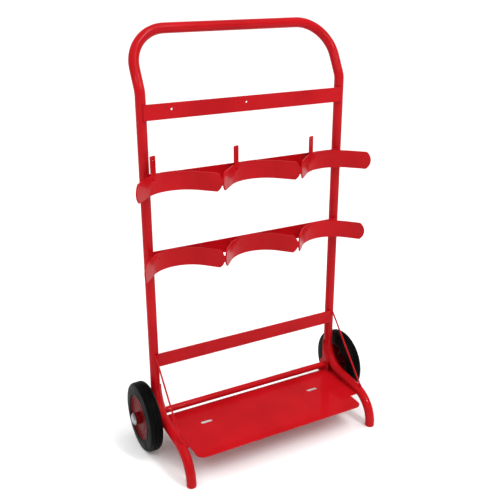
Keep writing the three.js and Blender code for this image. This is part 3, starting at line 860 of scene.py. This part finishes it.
def foot_plug(name):
    low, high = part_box(f"{name}_foot_plug")
    head, stem = TUBE_FOOT - SEAM, tube_radius - TUBE_WALL - SEAM
    section = [
        (0, 0, 0), (0, tube_radius, PLUG_DOME), (head, tube_radius, PLUG_SHOULDER), (head, stem, 0),
        (high.z - low.z, stem, PLUG_TIP), (high.z - low.z, 0, 0),
    ]
    shape = turned(section, AXLE_FACETS)
    upright = Matrix.Rotation(-pi / 2, 4, "Y")
    shape.transform(Matrix.Translation(((low.x + high.x) / 2, foot_y, 0)) @ upright)
    return make_piece(f"{name}_foot_cap", shape, plug_plastic, "frame", "plug_plastic", f"{name}_foot_plug")


for name in ("left", "right"):
    axle_bracket(name)
    stay_rod(name)
    foot_plug(name)

# %% [markdown]
# ## Weld beads
# Welds hold the whole trolley together, so it looks unfinished without them. A bead is a row of small
# puddles of metal, each laid half over the last. Here it is a line of rings along its path, every second
# one a little larger, joined by bridging and painted with the rest.

# %% Welding
BEAD, TIP_BEAD, STAY_BEAD = 0.0016, 0.0022, 0.0028
BEAD_STEP = 0.0018
BEAD_SWELL, BEAD_TAPER = 0.16, 0.6
BEAD_FACETS = 8


def bead(shape, path, radius=BEAD):
    """A rippled bead along a line of points."""
    steps = []
    for start, end in zip(path, path[1:]):
        count = max(1, round((end - start).length / BEAD_STEP))
        steps += [start.lerp(end, k / count) for k in range(count)]
    steps.append(path[-1])
    rings = []
    for k, point in enumerate(steps):
        heading = steps[min(k + 1, len(steps) - 1)] - steps[max(k - 1, 0)]
        place = Matrix.Translation(point) @ heading.to_track_quat("Z", "Y").to_matrix().to_4x4()
        size = radius * (BEAD_TAPER if k in (0, len(steps) - 1) else 1 + BEAD_SWELL * (k % 2))
        verts = bmesh.ops.create_circle(shape, radius=size, segments=BEAD_FACETS, matrix=place)["verts"]
        rings.append(list({e for v in verts for e in v.link_edges}))
    for first, second in zip(rings, rings[1:]):
        bmesh.ops.bridge_loops(shape, edges=first + second)
    for ring in (rings[0], rings[-1]):
        bmesh.ops.contextual_create(shape, geom=ring)


def finish_beads(shape, name):
    bmesh.ops.recalc_face_normals(shape, faces=shape.faces)
    print(name + ":", len(shape.faces), "faces")
    make_piece(name, shape, enamel, "frame", "red_paint", weighted=False)


# %% Beads on bars and saddles
TACK = 0.022
TIP_TACK = 0.009
BAR_END_INSET = 0.002

bar_beads = bmesh.new()
for node_name in ("top_bar", "upper_cradle_bar", "lower_cradle_bar", "lower_bar"):
    low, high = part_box(node_name)
    for x in (low.x, high.x):
        bead(bar_beads, [Vector((x, high.y, z)) for z in (low.z + BAR_END_INSET, high.z - BAR_END_INSET)])
finish_beads(bar_beads, "bar_weld_beads")

saddle_beads = bmesh.new()
for level in ROWS:
    cradle_low, cradle_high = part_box(f"{level}_cradle_bar")
    boxes = [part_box(f"{level}_saddle_{bay}") for bay in BAYS]
    for low, high in boxes:
        middle = (low.x + high.x) / 2
        for z in (cradle_high.z, cradle_low.z):
            bead(saddle_beads, [Vector((middle + side * TACK, cradle_low.y - SEAM, z)) for side in (-1, 1)])
    for (low, high), (next_low, _) in zip(boxes, boxes[1:]):
        tip_x, tip_z = (high.x + next_low.x) / 2, cradle_high.z - ROWS[level]["height"] / 2
        ends = [Vector((tip_x, low.y + SADDLE_THICKNESS, tip_z + side * TIP_TACK)) for side in (-1, 1)]
        bead(saddle_beads, ends, TIP_BEAD)
finish_beads(saddle_beads, "saddle_weld_beads")

# %% Beads round the axle, the brackets and the platform
EYE_BEAD_STEPS = 24
FOOT_BEAD_INSET, SHEET_BEAD_INSET = 0.003, 0.004
LEG_BEAD_TURNS = [radians(4 * k) for k in range(2, 12)]
STAY_TOP_DROP, STAY_END_DROP, STAY_BEAD_SLANT = 0.010, -0.008, 0.9

leg_beads = bmesh.new()
for name, side in (("left", -1), ("right", 1)):
    low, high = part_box(f"{name}_axle_bracket")
    inner_x, outer_x = (high.x, low.x) if side < 0 else (low.x, high.x)
    round_axle = [2 * pi * k / EYE_BEAD_STEPS for k in range(EYE_BEAD_STEPS + 1)]
    bead(leg_beads, [
        Vector((inner_x, axle_y + axle_radius * cos(t), axle_z + axle_radius * sin(t))) for t in round_axle
    ])
    foot_ends = (low.y + FOOT_BEAD_INSET, high.y - GUSSET_HEEL)
    bead(leg_beads, [Vector((inner_x, y, sheet_high.z)) for y in foot_ends])
    bead(leg_beads, [Vector((outer_x, *leg_bend(t))) for t in LEG_BEAD_TURNS])
    bead(leg_beads, [
        Vector((side * beside_leg, NOTCH_Y + SHEET_BEAD_INSET, sheet_high.z)),
        Vector((side * (beside_leg + TUCK), TUCK_FRONT_Y, sheet_high.z)),
    ])
    stay_low, stay_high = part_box(f"{name}_stay_rod")
    stay_x = (stay_low.x + stay_high.x) / 2
    for end, drop in ((stay_high, STAY_TOP_DROP), (stay_low, STAY_END_DROP)):
        bead(leg_beads, [
            Vector((stay_x, end.y, end.z - drop / 4)),
            Vector((stay_x, end.y - drop * STAY_BEAD_SLANT, end.z - drop)),
        ], STAY_BEAD)
finish_beads(leg_beads, "leg_weld_beads")

# %% [markdown]
# ## Tyres
# The tyre is a thick ring of solid rubber. Its shoulders are round, two grooves run round its tread, and
# a shallow ring stands round each side wall where the mould closed. All of it is one section, spun once.

# %% Tyres
RIM_RADIUS = 0.064
SHOULDER = 0.0145
SHOULDER_DROP = 0.004
GROOVE_WIDTH, GROOVE_DEPTH = 0.003, 0.0025
GROOVE_X = 0.004
MOULD_RING_RADIUS, MOULD_RING_HEIGHT = 0.071, 0.0009
RING_FOOT, RING_TOP = 0.003, 0.0015
TYRE_EDGE, SHOULDER_ROUNDING = 0.0005, 0.009


def tyre(name):
    low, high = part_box(f"{name}_tyre")
    half, outer = (high.x - low.x) / 2, (high.z - low.z) / 2
    inner = RIM_RADIUS + SEAM
    wall = half - MOULD_RING_HEIGHT
    right_side = [
        (GROOVE_X - GROOVE_WIDTH / 2, outer, TYRE_EDGE),
        (GROOVE_X - GROOVE_WIDTH / 2, outer - GROOVE_DEPTH, TYRE_EDGE),
        (GROOVE_X + GROOVE_WIDTH / 2, outer - GROOVE_DEPTH, TYRE_EDGE),
        (GROOVE_X + GROOVE_WIDTH / 2, outer, TYRE_EDGE),
        (half - SHOULDER_DROP, outer, SHOULDER_ROUNDING),
        (wall, outer - SHOULDER, SHOULDER_ROUNDING),
        (wall, MOULD_RING_RADIUS + RING_FOOT, TYRE_EDGE),
        (half, MOULD_RING_RADIUS + RING_TOP, TYRE_EDGE),
        (half, MOULD_RING_RADIUS - RING_TOP, TYRE_EDGE),
        (wall, MOULD_RING_RADIUS - RING_FOOT, TYRE_EDGE),
        (wall, inner, TYRE_EDGE),
    ]
    left_side = [(-along, radius, rounding) for along, radius, rounding in reversed(right_side)]
    shape = turned(right_side + left_side, TYRE_FACETS, 4)
    bmesh.ops.translate(shape, verts=shape.verts, vec=((low.x + high.x) / 2, axle_y, axle_z))
    return make_piece(f"{name}_rubber_tyre", shape, rubber, f"{name}_wheel", "tyre_rubber", f"{name}_tyre")


# %% [markdown]
# ## Wheel centres
# The wheel centre is moulded in one go: a barrel for the tyre to sit on, a nearly flat web behind a low
# rim, and a hub. From outside it is a smooth, slightly dished disc. The back is open, with ribs between
# hub and barrel, because a thick lump of plastic would sink as it cools. The round parts are one turned
# section, and the ribs are drafted blocks put round the hub.

# %% Wheel centres
RIM_BARREL = 0.004
RIM_RIBS = 8
WEB_DISH = 0.004
WEB_THICKNESS = 0.004
HUB_RADIUS = 0.017
HUB_OUTER, HUB_INNER = 0.030, 0.025
RIM_HALF = 0.018
BORE_RADIUS = 0.0108
DISH_RING = 0.040
RIB_THICKNESS = 0.004
RIB_DROP = 0.006
RIB_DRAFT = 0.7
RIB_EDGE = 0.0006
HUB_DRAFT, DISH_STEP = 0.001, 0.0015
WEB_ROUNDING, DISH_ROUNDING = 0.003, 0.004
BORE_EDGE, HUB_EDGE, HUB_CORNER = 0.0004, 0.0008, 0.001
BARREL_EDGE, LIP_EDGE, LIP_DRAFT = 0.0008, 0.0012, 0.0005


def rim_section():
    """Half of the wheel centre's section, outwards along +X from the wheel's middle."""
    web = RIM_HALF - WEB_DISH
    barrel = RIM_RADIUS - RIM_BARREL
    return [
        (-HUB_INNER, BORE_RADIUS, BORE_EDGE),
        (-HUB_INNER, HUB_RADIUS, HUB_CORNER),
        (web - WEB_THICKNESS, HUB_RADIUS + HUB_DRAFT, WEB_ROUNDING),
        (web - WEB_THICKNESS, barrel - HUB_DRAFT, WEB_ROUNDING),
        (-RIM_HALF, barrel, BARREL_EDGE),
        (-RIM_HALF, RIM_RADIUS, BARREL_EDGE),
        (RIM_HALF, RIM_RADIUS, LIP_EDGE),
        (RIM_HALF, barrel + LIP_DRAFT, LIP_EDGE),
        (web, barrel - WEB_ROUNDING, WEB_ROUNDING),
        (web, DISH_RING, DISH_ROUNDING),
        (web + DISH_STEP, DISH_RING - DISH_ROUNDING, DISH_ROUNDING),
        (web + DISH_STEP, HUB_RADIUS + HUB_DRAFT, HUB_CORNER),
        (HUB_OUTER, HUB_RADIUS, HUB_EDGE),
        (HUB_OUTER, BORE_RADIUS, BORE_EDGE),
    ]


def add_ribs(shape):
    """Drafted ribs behind the web, from the hub out to the barrel."""
    start, end = -RIM_HALF + RIB_DROP, RIM_HALF - WEB_DISH - WEB_THICKNESS / 2
    inner, outer = (BORE_RADIUS + HUB_RADIUS) / 2, RIM_RADIUS - RIM_BARREL / 2
    for k in range(RIM_RIBS):
        made = bmesh.ops.create_cube(shape, size=1)["verts"]
        bmesh.ops.scale(shape, verts=made, vec=(end - start, RIB_THICKNESS, outer - inner))
        free_end = [v for v in made if v.co.x < 0]
        bmesh.ops.scale(shape, verts=free_end, vec=(1, RIB_DRAFT, 1))
        bmesh.ops.translate(shape, verts=made, vec=((start + end) / 2, 0, (inner + outer) / 2))
        edges = {e for v in made for e in v.link_edges}
        rounded = bmesh.ops.bevel(
            shape, geom=list(edges), offset=RIB_EDGE, affect="EDGES", segments=2, profile=0.5, material=-1,
        )
        rib_verts = list({v for f in rounded["faces"] for v in f.verts})
        turn = Matrix.Rotation(2 * pi * (k + 0.5) / RIM_RIBS, 3, "X")
        bmesh.ops.rotate(shape, verts=rib_verts, cent=(0, 0, 0), matrix=turn)


def wheel_centre(name, side):
    low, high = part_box(f"{name}_tyre")
    shape = turned(rim_section(), WHEEL_FACETS, 4)
    add_ribs(shape)
    if side < 0:
        bmesh.ops.scale(shape, verts=shape.verts, vec=(-1, 1, 1))
        bmesh.ops.reverse_faces(shape, faces=shape.faces)
    bmesh.ops.translate(shape, verts=shape.verts, vec=((low.x + high.x) / 2, axle_y, axle_z))
    piece_name, body = f"{name}_wheel_centre", f"{name}_wheel"
    return make_piece(piece_name, shape, rim_plastic, body, "rim_plastic", f"{name}_rim")


# %% [markdown]
# ## Bushes, washers and caps
# A plastic bush in each end of the hub turns on the steel axle. A washer on each side keeps the hub from
# rubbing, and a pressed zinc cap grips the end of the axle and hides the outer washer. The cap is the one
# bright thing on the wheel, so it gets a rolled lip and a shallow crown.

# %% Bushes, washers and caps
BUSH_CLEARANCE = 0.0002
CAP_WALL = 0.0015
CAP_FLOOR, CAP_LIP, CAP_STEP = 0.0028, 0.0022, 0.0030
CAP_NECK, CAP_CROWN, CAP_CROWN_SLOPE = 0.0012, 0.0016, 0.0062
CAP_INNER_EDGE, CAP_WALL_EDGE, CAP_EDGE, CROWN_ROUNDING = 0.0003, 0.0004, 0.0006, 0.0030


def plain_ring(node_name, piece_name, bore, material, body, slot_name):
    low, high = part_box(node_name)
    section = sleeve(low.x, high.x, bore, (high.z - low.z) / 2)
    shape = on_axle(turned(section, RING_FACETS, 2))
    return make_piece(piece_name, shape, material, body, slot_name, node_name)


def axle_cap(name, side):
    low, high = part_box(f"{name}_axle_cap")
    lip, end = (low.x, high.x) if side > 0 else (-high.x, -low.x)
    outer = (high.z - low.z) / 2
    grip = rod_high.x + SEAM
    section = [
        (grip, 0, 0),
        (grip, rod_radius + SEAM, 0),
        (lip + CAP_FLOOR, rod_radius + SEAM, CAP_INNER_EDGE),
        (lip + CAP_FLOOR, outer - CAP_WALL, CAP_INNER_EDGE),
        (lip, outer - CAP_WALL, CAP_WALL_EDGE),
        (lip, outer, CAP_EDGE),
        (lip + CAP_LIP, outer, CAP_EDGE),
        (lip + CAP_STEP, outer - CAP_NECK, CAP_EDGE),
        (end - CAP_LIP, outer - CAP_CROWN, CROWN_ROUNDING),
        (end, outer - CAP_CROWN_SLOPE, CROWN_ROUNDING),
        (end, 0, 0),
    ]
    shape = on_axle(turned(section, CAP_FACETS, 4), side)
    return make_piece(f"{name}_zinc_cap", shape, zinc, "frame", "zinc_plate", f"{name}_axle_cap")


for name, side in (("left", -1), ("right", 1)):
    tyre(name)
    wheel_centre(name, side)
    axle_cap(name, side)
    for end in ("inner", "outer"):
        bush, washer = f"{name}_{end}_hub_bush", f"{name}_{end}_flat_washer"
        bore = rod_radius + BUSH_CLEARANCE
        plain_ring(f"{name}_{end}_bush", bush, bore, bush_plastic, f"{name}_wheel", "bush_plastic")
        plain_ring(f"{name}_{end}_washer", washer, rod_radius + SEAM, zinc, "frame", "zinc_plate")
    print(name, "wheel built")
